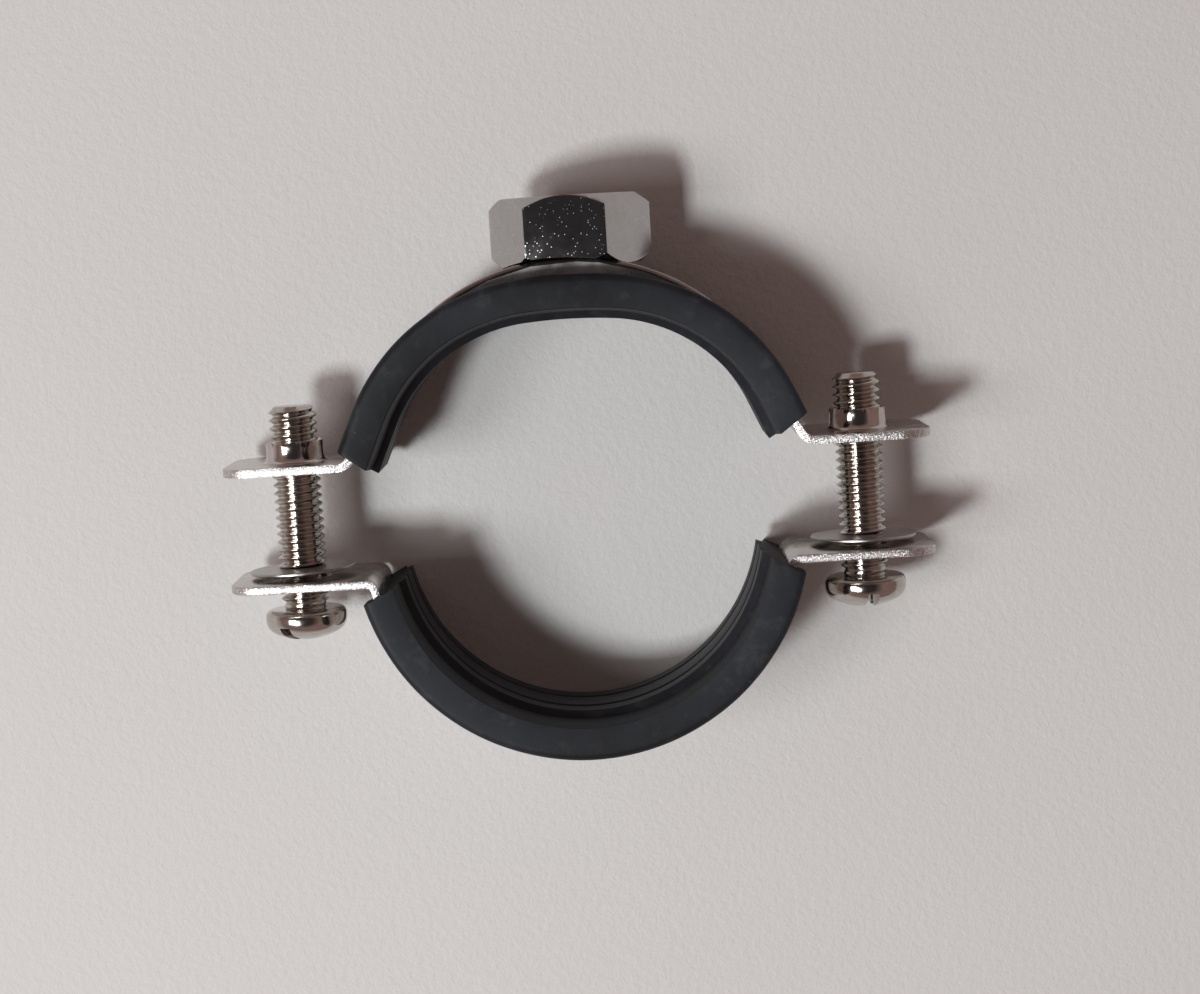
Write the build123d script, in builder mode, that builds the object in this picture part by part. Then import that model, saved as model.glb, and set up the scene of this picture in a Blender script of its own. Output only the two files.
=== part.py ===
"""Rubber lined pipe clamp: a two-screw steel clamp hung from a threaded rod.

Two bent steel bands, each held in a ribbed rubber liner, are drawn together by a screw at
either side. A hexagon nut welded on top of the upper band takes the threaded rod.

Millimetres. Origin on the axis of the pipe's seat, at mid-width: X runs from ear to ear,
Y along the pipe, and Z up towards the rod. The clamp is modelled open, with its screws
already started in the collars of the upper band.
"""
from build123d import *
from math import asin, cos, degrees, radians, sin, sqrt, tan
import os

# ---- Bands ------------------------------------------------------------------------------
strip_width = 18.0  # across the strip, along the pipe
strip_thickness = 1.0
ear_reach = 8.2  # from a screw's axis out to the tip of the ear
ear_corner = 4.0  # radius of the ear's corners
screw_spacing = 69.2  # between the axes of the two screws
ear_gap = 13.2  # between the upper and lower ears, as modelled
lower_ear_drop = 4.2  # the lower ear's top face, below the pipe's axis
lower_bend = 0.6  # under the strip, where the lower band's flank turns into its ear
upper_bend = 1.4  # over the strip, where the upper band's flank turns into its ear

# ---- Upper band: nearly flat under the nut, round at the shoulders, straight flanks ------
upper_height = 29.8  # top of the strip's outer face, above the pipe's axis
saddle_radius = 65.0
saddle_angle = 5.0  # half angle of the nearly flat top
shoulder_radius = 23.8
shoulder_angle = 66.0  # slope of the flanks

# ---- Crown: the bead pressed up along the middle of the upper band -----------------------
crown_rise = 3.2  # above the strip's outer face, under the nut
crown_radius = 27.2
crown_width = 13.2
crown_angle = 50.0  # half angle, from the top to the bead's end
crown_round = 0.6

# ---- Liners -----------------------------------------------------------------------------
seat_radius = 22.0  # of the pipe's seat, on the face of the pad
liner_wall = 2.0  # rubber beside the strip's edge
liner_web = 1.8  # rubber between the strip and the shoulder beside the pad
liner_lip = 1.2  # rubber folded over the strip's outer face
lip_reach = 2.1  # how far the lip covers the strip, from its edge
lip_chamfer = 0.6
pad_height = 1.4  # of the raised pad over the shoulders
pad_width = 12.6
pad_slope = 0.7  # sideways run of the pad's flank
shoulder_fall = 0.5  # how far the shoulder drops towards the side face
groove_spacing = 6.0  # between the two grooves in the pad
groove_width = 1.2
groove_depth = 0.6
lower_end_slant = 13.0  # the cut ends lean, because the rubber was cut flat, then bent
lower_liner_insets = {"left": 1.8, "right": 0.1}  # degrees from the band's bend to the lip
upper_liner_lifts = {"left": 0.9, "right": 2.3}  # from the upper ear up to the lip's end
upper_end_slant = 12.0

# ---- Nut --------------------------------------------------------------------------------
nut_flats = 17.0
nut_height = 8.4
nut_sink = 1.1  # how far the nut's hollow base reaches down over the crown
nut_chamfer_angle = 45.0
nut_turn = 3.6  # the nut is welded on slightly turned
nut_offset = 0.8  # and a little to the right
rod_bore = 8.5  # minor diameter of the rod's M10 thread
rod_bore_chamfer = 0.8
spot_extra = 0.05  # the tap drill leaves a flat spot on the crown, this far under the bore's wall

# ---- Screws, collars and washers ---------------------------------------------------------
screw_thread = 6.0
thread_pitch = 1.0
thread_play = 0.05  # between the screw and its thread, on the radius
screw_length = 25.0  # under the head
screw_drop = 3.0  # from the lower ear down to the head
tip_chamfer = 0.7
head_diameter = 10.0
head_height = 3.9
head_shoulder = 1.1  # width of the round between the head's dome and its side
head_dome = 0.9  # height of the dome, from its middle to that round
head_belly = 2.6  # height from the dome's middle to the straight side
head_rim = 0.9
slot_width = 1.4
slot_depth = 2.0
cross_length = 5.6
slot_turns = {"left": 62.0, "right": 96.0}  # degrees from X
collar_diameter = 7.0
collar_height = 2.4
collar_flare = 0.5
clearance_hole = 7.0
washer_diameter = 13.0
washer_thickness = 0.4
washer_lift = 0.7  # above the lower ear

# ---- Derived ----------------------------------------------------------------------------
half_spacing = screw_spacing / 2
ear_tip = half_spacing + ear_reach
lower_ear_top = -lower_ear_drop
lower_ear_bottom = lower_ear_top - strip_thickness
upper_ear_bottom = lower_ear_top + ear_gap
upper_ear_top = upper_ear_bottom + strip_thickness
lower_inner_radius = seat_radius + pad_height + liner_web
lower_outer_radius = lower_inner_radius + strip_thickness
lower_bend_centre = lower_ear_bottom - lower_bend  # the bend is tangent to flank and ear
lower_flank_end = degrees(asin(-lower_bend_centre / (lower_outer_radius + lower_bend)))
liner_width = strip_width + 2 * liner_wall
pad_face = liner_web + pad_height  # below the strip's inner face
crown_top = upper_height + crown_rise
crown_centre = crown_top - crown_radius
crown_axis = Axis((0, 0, crown_centre), (0, 1, 0))
saddle_centre = upper_height - saddle_radius
shoulder_x = (saddle_radius - shoulder_radius) * sin(radians(saddle_angle))
shoulder_z = saddle_centre + (saddle_radius - shoulder_radius) * cos(radians(saddle_angle))
nut_base = crown_top - nut_sink
nut_corner_radius = nut_flats / sqrt(3)
nut_axis = Axis((nut_offset, 0, 0), (0, 0, 1))
bore_foot = crown_centre + sqrt(crown_radius**2 - (rod_bore / 2 + nut_offset) ** 2)
pitch_radius = (screw_thread - 3 * sqrt(3) / 8 * thread_pitch) / 2
thread_bore = pitch_radius + thread_play
bearing = lower_ear_bottom - screw_drop
side_signs = {"left": -1, "right": 1}


def polar(radius, angle):
    """Point of the XZ plane, at a radius and an angle from X."""
    return (radius * cos(radians(angle)), radius * sin(radians(angle)))


def flank_point(depth, height):
    """Point of the upper band's right flank, at a depth under its outer face."""
    radius = shoulder_radius - depth
    top_x = shoulder_x + radius * sin(radians(shoulder_angle))
    top_z = shoulder_z + radius * cos(radians(shoulder_angle))
    return (top_x + (top_z - height) / tan(radians(shoulder_angle)), height)


def upper_run(depth, foot):
    """The upper band's line, at a depth under its outer face.

    It goes over the top from the right flank to the left one, whose feet are at the height
    called foot, and returns the right foot.
    """
    radius = shoulder_radius - depth
    sweep_angle = shoulder_angle - saddle_angle
    right_foot = flank_point(depth, foot)
    flank_top = flank_point(depth, shoulder_z + radius * cos(radians(shoulder_angle)))
    Line(right_foot, flank_top)
    CenterArc((shoulder_x, shoulder_z), radius, 90 - shoulder_angle, sweep_angle)
    CenterArc((0, saddle_centre), saddle_radius - depth, 90 - saddle_angle, 2 * saddle_angle)
    CenterArc((-shoulder_x, shoulder_z), radius, 90 + saddle_angle, sweep_angle)
    Line((-flank_top[0], flank_top[1]), (-right_foot[0], foot))
    return right_foot


def crown_rib(radius, width, corner, half_angle):
    """Section of the crown's wheel through its axis, where the crown ends on the left.

    Its X runs across the strip, and its Y from the wheel's axis to the rim.
    """
    outward = Vector(-sin(radians(half_angle)), 0, cos(radians(half_angle)))
    across = Vector(0, 1, 0)
    with BuildSketch(Plane(crown_axis.position, x_dir=across, z_dir=across.cross(outward))) as rib:
        with Locations((0, radius / 2)):
            Rectangle(width, radius)
        if corner > 0:
            fillet(rib.vertices().sort_by(Axis.Y)[-2:], corner)
    return rib.sketch


def ear_corners(band):
    """Upright edges at the tips of a band's ears."""
    upright = band.edges().filter_by(Axis.Z).group_by(Axis.X)
    return upright[0] + upright[-1]


def liner_section(path):
    """Section of a liner at the start of its path.

    Its X runs across the strip, and its Y from the strip's inner face into the ring.
    """
    half_strip = strip_width / 2
    half_liner = liner_width / 2
    half_pad = pad_width / 2
    half_groove = groove_width / 2
    groove_centre = groove_spacing / 2
    lip_top = -strip_thickness - liner_lip
    with BuildSketch(Plane(path @ 0, x_dir=(0, 1, 0), z_dir=path % 0)) as section:
        with BuildLine():
            Polyline(
                (0, pad_face),
                (groove_centre - half_groove, pad_face),
                (groove_centre, pad_face - groove_depth),
                (groove_centre + half_groove, pad_face),
                (half_pad, pad_face),
                (half_pad + pad_slope, liner_web + shoulder_fall),
                (half_liner, liner_web),
                (half_liner, lip_top + lip_chamfer),
                (half_liner - lip_chamfer, lip_top),
                (half_strip - lip_reach, lip_top),
                (half_strip - lip_reach, -strip_thickness),
                (half_strip, -strip_thickness),
                (half_strip, 0),
                (0, 0),
            )
            mirror(about=Plane.YZ)
        make_face()
    return section.sketch


def trim(side, corner, facing):
    """Cut one end of the liner being built, along a slanted plane.

    Corner and facing are a corner of the lip and the plane's outward angle, as they would be
    at the right end.
    """
    outward = polar(1, facing)
    origin = (side * corner[0], 0, corner[1])
    split(bisect_by=Plane(origin, z_dir=(side * outward[0], 0, outward[1])), keep=Keep.BOTTOM)


def upright_plane(x):
    """XZ plane whose origin is on a screw's axis."""
    return Plane((x, 0, 0), x_dir=(1, 0, 0), z_dir=(0, -1, 0))


# ---- Upper band -------------------------------------------------------------------------
with BuildPart() as upper_band:
    # The crown: a bead of the strip's own thickness, pressed up between the liner's lips.
    rib = crown_rib(crown_radius, crown_width, crown_round, crown_angle)
    revolve(rib, axis=crown_axis, revolution_arc=2 * crown_angle)
    with BuildSketch(Plane.XZ):
        with BuildLine():
            foot = upper_run(strip_thickness, crown_centre - strip_thickness)
            Line(foot, (-foot[0], foot[1]))
        make_face()
    extrude(amount=strip_width, both=True, mode=Mode.SUBTRACT)

    with BuildSketch(Plane.XZ):
        with BuildLine():
            foot = upper_run(0, upper_ear_top + upper_bend * (1 - cos(radians(shoulder_angle))))
            bend = JernArc(foot, polar(1, -shoulder_angle), upper_bend, shoulder_angle)
            ear = Line(bend @ 1, (ear_tip, upper_ear_top))
            mirror([bend, ear], about=Plane.YZ)
            offset(amount=strip_thickness, side=Side.LEFT)
        make_face()
    extrude(amount=strip_width / 2, both=True)

    hollow_radius = crown_radius - strip_thickness
    hollow_angle = crown_angle - degrees(strip_thickness / crown_radius)
    rib = crown_rib(hollow_radius, crown_width - 2 * strip_thickness, 0, hollow_angle)
    revolve(rib, axis=crown_axis, revolution_arc=2 * hollow_angle, mode=Mode.SUBTRACT)
    with BuildSketch(Plane.XY.offset(bore_foot - spot_extra)):
        with Locations((nut_offset, 0)):
            Circle(rod_bore / 2)
    extrude(amount=crown_rise, mode=Mode.SUBTRACT)

    fillet(ear_corners(upper_band), ear_corner)
    with Locations(*[(side * half_spacing, 0, upper_ear_top) for side in side_signs.values()]):
        base = (Align.CENTER, Align.CENTER, Align.MIN)
        Cylinder(collar_diameter / 2, collar_height, align=base)
        Cone(collar_diameter / 2 + collar_flare, collar_diameter / 2, collar_flare, align=base)
        Hole(thread_bore, depth=2 * ear_gap)

# ---- Lower band -------------------------------------------------------------------------
with BuildPart() as lower_band:
    with BuildSketch(Plane.XZ):
        with BuildLine():
            arch = CenterArc((0, 0), lower_outer_radius, -90, 90 - lower_flank_end)
            bend = JernArc(arch @ 1, arch % 1, lower_bend, lower_flank_end - 90)
            Line(bend @ 1, (ear_tip, lower_ear_bottom))
            mirror(about=Plane.YZ)
            offset(amount=strip_thickness, side=Side.LEFT)
        make_face()
    extrude(amount=strip_width / 2, both=True)
    fillet(ear_corners(lower_band), ear_corner)
    with Locations(*[(side * half_spacing, 0, lower_ear_top) for side in side_signs.values()]):
        Hole(clearance_hole / 2, depth=2 * strip_thickness)

# ---- Liners -----------------------------------------------------------------------------
# Each liner is swept past its ends, then trimmed.
with BuildPart() as upper_liner:
    with BuildLine(Plane.XZ) as upper_path:
        upper_run(strip_thickness, upper_ear_bottom - pad_face)
    sweep(liner_section(upper_path.wire()), path=upper_path.wire())
    for name, lift in upper_liner_lifts.items():
        lip_end = flank_point(0, upper_ear_top + lift)
        trim(side_signs[name], lip_end, upper_end_slant - shoulder_angle)

with BuildPart() as lower_liner:
    with BuildLine(Plane.XZ) as lower_path:
        CenterArc((0, 0), lower_inner_radius, 180, 180)
    sweep(liner_section(lower_path.wire()), path=lower_path.wire())
    for name, inset in lower_liner_insets.items():
        end_angle = lower_flank_end + inset
        lip_end = polar(lower_outer_radius, -end_angle)
        trim(side_signs[name], lip_end, 90 - end_angle - lower_end_slant)

# ---- Hanger nut --------------------------------------------------------------------------
with BuildPart() as hanger_nut:
    with BuildSketch(Plane.XY.offset(nut_base)):
        with Locations((nut_offset, 0)):
            RegularPolygon(nut_flats / 2, 6, major_radius=False, rotation=nut_turn)
    extrude(amount=nut_height)
    with BuildSketch(Plane.XZ):
        with Locations((nut_offset, nut_base + nut_height / 2)):
            turned = Rectangle(2 * nut_corner_radius, nut_height)
        corner_depth = nut_corner_radius - nut_flats / 2
        rise = corner_depth * tan(radians(nut_chamfer_angle))
        chamfer(turned.vertices(), rise, angle=90 - nut_chamfer_angle)
        split(bisect_by=Plane.YZ.offset(nut_offset))
    revolve(axis=nut_axis, mode=Mode.INTERSECT)
    with Locations((0, 0, crown_centre)):
        Cylinder(crown_radius, 2 * nut_flats, rotation=(90, 0, 0), mode=Mode.SUBTRACT)
    with Locations((nut_offset, 0, nut_base + nut_height)):
        CounterSinkHole(
            rod_bore / 2,
            rod_bore / 2 + rod_bore_chamfer,
            depth=nut_height,
            counter_sink_angle=90,
        )

# ---- Screws and washers ------------------------------------------------------------------
# The screws are plain at their pitch diameter, and so are the threads that they run in.
screws = {}
washers = {}
for name, side in side_signs.items():
    x = side * half_spacing
    head_bottom = bearing - head_height
    dome_edge = (head_diameter / 2 - head_shoulder, head_bottom + head_dome)
    side_foot = (head_diameter / 2, head_bottom + head_belly)
    tip = bearing + screw_length

    with BuildPart() as screw:
        with BuildSketch(upright_plane(x)):
            with BuildLine():
                TangentArc((0, head_bottom), dome_edge, tangent=(1, 0))
                TangentArc(side_foot, dome_edge, tangent=(0, -1))
                Polyline(
                    side_foot,
                    (head_diameter / 2, bearing - head_rim),
                    (head_diameter / 2 - head_rim, bearing),
                    (pitch_radius, bearing),
                    (pitch_radius, tip - tip_chamfer),
                    (pitch_radius - tip_chamfer, tip),
                    (0, tip),
                    (0, head_bottom),
                )
            make_face()
        revolve(axis=Axis((x, 0, 0), (0, 0, 1)))
        with BuildSketch(Plane((x, 0, head_bottom))):
            Rectangle(2 * head_diameter, slot_width, rotation=slot_turns[name])
            Rectangle(slot_width, cross_length, rotation=slot_turns[name])
        extrude(amount=slot_depth, mode=Mode.SUBTRACT)
    screws[name] = screw

    with BuildPart() as washer:
        with BuildSketch(Plane((x, 0, lower_ear_top + washer_lift))):
            Circle(washer_diameter / 2)
            Circle(pitch_radius, mode=Mode.SUBTRACT)
        extrude(amount=washer_thickness)
    washers[name] = washer

# ---- Named pieces ------------------------------------------------------------------------
pieces = {
    "upper_band": upper_band,
    "upper_liner": upper_liner,
    "hanger_nut": hanger_nut,
    "lower_band": lower_band,
    "lower_liner": lower_liner,
    "left_screw": screws["left"],
    "right_screw": screws["right"],
    "left_washer": washers["left"],
    "right_washer": washers["right"],
}
os.makedirs("parts", exist_ok=True)
for label, piece in pieces.items():
    piece.part.label = label
    export_step(piece.part, f"parts/{label}.step")
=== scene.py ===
"""Rubber lined pipe clamp, dressed for rendering on its CAD frame.

Lengths are in millimetres until a mesh is written, and the frame itself is in metres.
Named angles are in degrees.
"""

from contextlib import contextmanager
from math import cos, hypot, pi, radians, sin, tan

import bmesh
import bpy
from mathutils import Matrix, Vector, noise


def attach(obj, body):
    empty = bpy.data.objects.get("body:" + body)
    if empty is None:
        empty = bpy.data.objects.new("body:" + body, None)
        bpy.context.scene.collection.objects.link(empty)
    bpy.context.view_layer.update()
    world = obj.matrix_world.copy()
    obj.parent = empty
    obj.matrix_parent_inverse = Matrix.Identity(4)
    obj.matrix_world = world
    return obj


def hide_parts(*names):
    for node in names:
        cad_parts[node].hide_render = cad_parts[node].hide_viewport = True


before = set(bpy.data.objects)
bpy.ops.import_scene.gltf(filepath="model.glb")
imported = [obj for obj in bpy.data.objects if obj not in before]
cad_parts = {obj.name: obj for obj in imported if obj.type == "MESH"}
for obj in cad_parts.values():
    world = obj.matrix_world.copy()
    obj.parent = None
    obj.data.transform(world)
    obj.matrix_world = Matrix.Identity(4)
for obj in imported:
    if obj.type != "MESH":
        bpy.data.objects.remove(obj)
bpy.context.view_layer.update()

MM = 0.001
SIDES = {"left": -1, "right": 1}

# ---- Sizes, the same as the solids ------------------------------------------------------
STRIP_WIDTH = 18.0
STRIP_THICKNESS = 1.0
HALF_SPACING = 34.6
UPPER_EAR_TOP = 10.0
UPPER_EAR_START = 30.5  # distance from the middle to just past an ear's bend
LOWER_EAR_START = 28.5

SADDLE_RADIUS = 65.0
SADDLE_CENTRE = -35.2
SADDLE_ANGLE = 5.0
SHOULDER_RADIUS = 23.8
SHOULDER_ANGLE = 66.0
SHOULDER_X = (SADDLE_RADIUS - SHOULDER_RADIUS) * sin(radians(SADDLE_ANGLE))
SHOULDER_Z = SADDLE_CENTRE + (SADDLE_RADIUS - SHOULDER_RADIUS) * cos(radians(SADDLE_ANGLE))
FLANK_X = SHOULDER_X + SHOULDER_RADIUS * sin(radians(SHOULDER_ANGLE))
FLANK_Z = SHOULDER_Z + SHOULDER_RADIUS * cos(radians(SHOULDER_ANGLE))
LOWER_RADIUS = 26.2
LOWER_LINER_ENDS = {"left": 14.3, "right": 12.6}  # degrees under the axis
LOWER_END_SLANT = 13.0
UPPER_LINER_ENDS = {"left": 10.9, "right": 12.3}  # height of the lip's end
UPPER_END_SLANT = 12.0

CROWN_CENTRE = 5.8
CROWN_REACH = 26.4  # from the crown's centre to just under its outer face
CROWN_FOOT = 23.4
CROWN_HALF_WIDTH = 6.6

LINER_HALF_WIDTH = 11.0
LINER_WEB = 1.8
LINER_LIP = 1.2
LIP_REACH = 2.1
LIP_ROUND = 0.9
PAD_FACE = 3.2
PAD_HALF_WIDTH = 6.3
PAD_SLOPE = 0.7
SHOULDER_FALL = 0.5
GROOVE_CENTRE = 3.0
GROOVE_HALF_WIDTH = 0.6
GROOVE_DEPTH = 0.6

NUT_X = 0.8
NUT_FOOT = 32.53
NUT_TOP = 40.3
ROD_BORE_RADIUS = 4.25
ROD_CHAMFER = 0.8

SCREW_BEARING = -8.2
SCREW_TIP = 16.8
NECK_LENGTH = 0.9
TIP_CHAMFER = 0.7
HEAD_RADIUS = 5.0
HEAD_HEIGHT = 3.9
HEAD_DOME_RADIUS = 8.9
HEAD_DOME_SPREAD = 25.0
HEAD_SHOULDER_RADIUS = 1.86
HEAD_BELLY = 2.6
HEAD_RIM = 0.9
SLOT_WIDTH = 1.4
SLOT_DEPTH = 2.0
CROSS_LENGTH = 5.6
SLOT_TURNS = {"left": 62.0, "right": 96.0}

COLLAR_RADIUS = 3.5
COLLAR_HEIGHT = 2.4
WASHER_RADIUS = 6.5
WASHER_BOTTOM = -3.5
WASHER_THICKNESS = 0.4

# ---- Sizes of the finer shapes that only this scene has ---------------------------------
CREASE_ANGLE = 32.0  # edges sharper than this stay creases
NUT_CREASE = 35.0
SOFT_CREASE = 40.0
COLLAR_CREASE = 50.0
SCREW_CREASE = 55.0
FLAT_ANGLE = 0.6  # faces that meet at less than this are one flat face
WELD_GAP = 0.002  # points of a solid nearer than this are one point
SEAM_GAP = 0.001
SLIVER = 0.0005
STRIP_EDGE = 0.14  # the rounds along edges
RUBBER_EDGE = 0.16
NUT_EDGE = 0.34
CORNER_ANGLE = 30.0  # edges sharper than this are rounded
RUBBER_CORNER = 28.0
NUT_CORNER = 25.0

# Shares of a face's normal along one axis, which tell the way that the face looks.
PIPE_WAYS = 0.7  # more than this along the pipe: a strip's side edge
UPRIGHT = 0.3  # less than this up or down: the end of an ear
BORE_WALL = 0.5  # less than this up or down: the bore of a collar
NOT_LEVEL = 0.95  # less than this up or down: the bore of the nut, or its chamfer

COLLAR_BORE = 2.725
COLLAR_FLARE = 0.5
COLLAR_STEPS = 144
RAGGED_WAVES = 3.1  # slow rise and fall of a collar's torn rim
RAGGED_DEPTH = 0.22
NICK_WAVES = 9.0
NICK_DEPTH = 0.14

FLANK_LENGTH = 9.0
FLANK_STEPS = 6
SHOULDER_STEPS = 60
SADDLE_STEPS = 10
LOWER_STEPS = 132
RIPPLE_DEPTH = 0.04  # soft waves of a liner's lips
RIPPLE_ALONG = 0.14
RIPPLE_ACROSS = 0.5

CREST_RADIUS = 2.95
ROOT_RADIUS = 2.42
NECK_RADIUS = 2.6
THREAD_PITCH = 1.0
CREST_EASE = 0.015
CREST_CORNER = 0.07
ROOT_CORNER = 0.06
DOME_START = -88.0  # just off the dome's middle, which is a point of its own
RIM_END = 86.0
ROD_PITCH = 1.5
ROD_GROOVE = 0.72
NUT_LEAN = -7.2  # turn of the nut about its own axis, further than its solid

WASHER_HOLE = 2.68
WASHER_DISH = (3.6, 5.4)  # radii between which the washer slopes
WASHER_TILTS = {"left": -1.6, "right": 0.6}


# ---- Meshes -----------------------------------------------------------------------------
@contextmanager
def editing(mesh_data):
    """Opens a mesh for editing and writes it back at the end of the block."""
    edit = bmesh.new()
    edit.from_mesh(mesh_data)
    yield edit
    edit.to_mesh(mesh_data)
    edit.free()


def set_sharp(mesh_data, angle=CREASE_ANGLE):
    """Smooth shading with creases kept at edges sharper than the angle."""
    with editing(mesh_data) as edit:
        for face in edit.faces:
            face.smooth = True
        for edge in edit.edges:
            if len(edge.link_faces) == 2:
                edge.smooth = edge.calc_face_angle(0.0) < radians(angle)


def open_edges(edit):
    """Edges round the holes of a surface."""
    return [edge for edge in edit.edges if len(edge.link_faces) == 1]


def add_object(name, data):
    """Puts a mesh, lamp or camera in the scene."""
    made = bpy.data.objects.new(name, data)
    bpy.context.scene.collection.objects.link(made)
    return made


def new_piece(name, points, faces, materials):
    """Mesh object from points in millimetres."""
    mesh_data = bpy.data.meshes.new(name)
    mesh_data.from_pydata([Vector(point) * MM for point in points], [], faces)
    for material in materials:
        mesh_data.materials.append(material)
    with editing(mesh_data) as edit:
        bmesh.ops.recalc_face_normals(edit, faces=edit.faces)
    return add_object(name, mesh_data)


def copy_of(node_name, name, materials):
    """A piece that starts from a CAD node's mesh, with its flat faces made whole."""
    mesh_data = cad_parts[node_name].data.copy()
    mesh_data.name = name
    mesh_data.materials.clear()
    for material in materials:
        mesh_data.materials.append(material)
    with editing(mesh_data) as edit:
        bmesh.ops.remove_doubles(edit, verts=edit.verts, dist=WELD_GAP * MM)
        bmesh.ops.dissolve_limit(
            edit, angle_limit=radians(FLAT_ANGLE), verts=edit.verts, edges=edit.edges
        )
        for face in edit.faces:
            face.material_index = 0
    return add_object(name, mesh_data)


def round_edges(piece, width, segments=3, angle=CORNER_ANGLE):
    """Small rounds on the edges of a piece that are sharper than the angle."""
    bevel = piece.modifiers.new("rounded edges", "BEVEL")
    bevel.width = width * MM
    bevel.segments = segments
    bevel.limit_method = "ANGLE"
    bevel.angle_limit = radians(angle)
    bevel.use_clamp_overlap = True
    bevel.harden_normals = False


def baked(piece, angle=CREASE_ANGLE):
    """Turns a piece's modifiers into its mesh, then sets its creases."""
    bpy.context.view_layer.update()
    graph = bpy.context.evaluated_depsgraph_get()
    mesh_data = bpy.data.meshes.new_from_object(piece.evaluated_get(graph))
    piece.modifiers.clear()
    piece.data = mesh_data
    set_sharp(mesh_data, angle)


def skin(rows, columns, closed):
    """Faces between rows of points; closed joins the last column to the first."""
    faces = []
    for low in range(0, (rows - 1) * columns, columns):
        high = low + columns
        for column in range(columns if closed else columns - 1):
            after = (column + 1) % columns
            faces.append((low + column, low + after, high + after, high + column))
    return faces


def lathe(name, profile, x, material, steps=96):
    """Solid turned about an upright axis at x, from a profile of (radius, height)."""
    points = []
    faces = []
    rings = []
    for radius, height in profile:
        count = steps if radius else 1
        rings.append(range(len(points), len(points) + count))
        for step in range(count):
            turn = 2 * pi * step / steps
            points.append((x + radius * cos(turn), radius * sin(turn), height))
    for low, high in zip(rings, rings[1:]):
        for step in range(steps):
            after = (step + 1) % steps
            if len(low) == 1:
                faces.append((low[0], high[after], high[step]))
            elif len(high) == 1:
                faces.append((low[step], low[after], high[0]))
            else:
                faces.append((low[step], low[after], high[after], high[step]))
    return new_piece(name, points, faces, [material])


def arc_points(centre, radius, start, end, count):
    """Points of an arc in a profile, at angles from its first axis."""
    points = []
    for index in range(count + 1):
        turn = radians(start + (end - start) * index / count)
        points.append((centre[0] + radius * cos(turn), centre[1] + radius * sin(turn)))
    return points


def placed(piece, body, node_name):
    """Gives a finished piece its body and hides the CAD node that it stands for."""
    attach(piece, body)
    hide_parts(node_name)


# ---- Node helpers -----------------------------------------------------------------------
def add_node(tree, kind, settings=None, **inputs):
    """A node with its settings and its unlinked inputs."""
    made = tree.nodes.new(kind)
    for name, value in (settings or {}).items():
        setattr(made, name, value)
    for name, value in inputs.items():
        made.inputs[name.replace("_", " ")].default_value = value
    return made


def add_group(tree, group, **inputs):
    """A group placed in a material, with its own values."""
    return add_node(tree, "ShaderNodeGroup", {"node_tree": group}, **inputs)


def new_group(name, inputs, outputs):
    """A shader node group with named sockets."""
    tree = bpy.data.node_groups.new(name, "ShaderNodeTree")
    kinds = {"float": "NodeSocketFloat", "color": "NodeSocketColor", "vector": "NodeSocketVector"}
    for socket, kind, value in inputs:
        made = tree.interface.new_socket(socket, in_out="INPUT", socket_type=kinds[kind])
        made.default_value = value
    for socket, kind in outputs:
        tree.interface.new_socket(socket, in_out="OUTPUT", socket_type=kinds[kind])
    return tree, tree.nodes.new("NodeGroupInput"), tree.nodes.new("NodeGroupOutput")


def feed(tree, socket, value):
    """Sets a socket to a plain value, or links it to another node's output."""
    if isinstance(value, bpy.types.NodeSocket):
        tree.links.new(value, socket)
    else:
        socket.default_value = value


def computed(tree, operation, *values):
    """Result of a sum on numbers, each of which may be a node's output."""
    made = add_node(tree, "ShaderNodeMath", {"operation": operation})
    for socket, value in zip(made.inputs, values):
        feed(tree, socket, value)
    return made.outputs["Value"]


def combined(tree, first, second, share):
    """First number plus a share of the second."""
    return computed(tree, "MULTIPLY_ADD", second, share, first)


def mixed(tree, mask, low, high):
    """Colour that goes from low to high with a mask; either end may be an output."""
    mix = add_node(tree, "ShaderNodeMix", {"data_type": "RGBA"})
    feed(tree, mix.inputs["Factor"], mask)
    feed(tree, mix.inputs["A"], low)
    feed(tree, mix.inputs["B"], high)
    return mix.outputs["Result"]


def band_pass(tree, source, low, high):
    """Maps a value from between low and high to 0 to 1."""
    made = add_node(tree, "ShaderNodeMapRange", From_Min=low, From_Max=high)
    feed(tree, made.inputs["Value"], source)
    return made.outputs["Result"]


def ranged(tree, mask, low, high):
    """Number that goes from low to high with a mask."""
    made = add_node(tree, "ShaderNodeMapRange", To_Min=low, To_Max=high)
    feed(tree, made.inputs["Value"], mask)
    return made.outputs["Result"]


def bumped(tree, shader, height, depth, strength):
    """Feeds a height into the shader's normal; depth is in millimetres."""
    bump = add_node(tree, "ShaderNodeBump", Strength=strength, Distance=depth * MM)
    feed(tree, bump.inputs["Height"], height)
    feed(tree, shader.inputs["Normal"], bump.outputs["Normal"])


def stretched_noise(tree, start, detail, roughness):
    """Noise on the object, at the scale and stretch that a group is given."""
    place = add_node(tree, "ShaderNodeTexCoord")
    stretch = add_node(tree, "ShaderNodeVectorMath", {"operation": "MULTIPLY"})
    clouds = add_node(tree, "ShaderNodeTexNoise", Detail=detail, Roughness=roughness)
    feed(tree, stretch.inputs[0], place.outputs["Object"])
    feed(tree, stretch.inputs[1], start.outputs["Stretch"])
    feed(tree, clouds.inputs["Vector"], stretch.outputs["Vector"])
    feed(tree, clouds.inputs["Scale"], start.outputs["Scale"])
    return clouds.outputs["Fac"]


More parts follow.
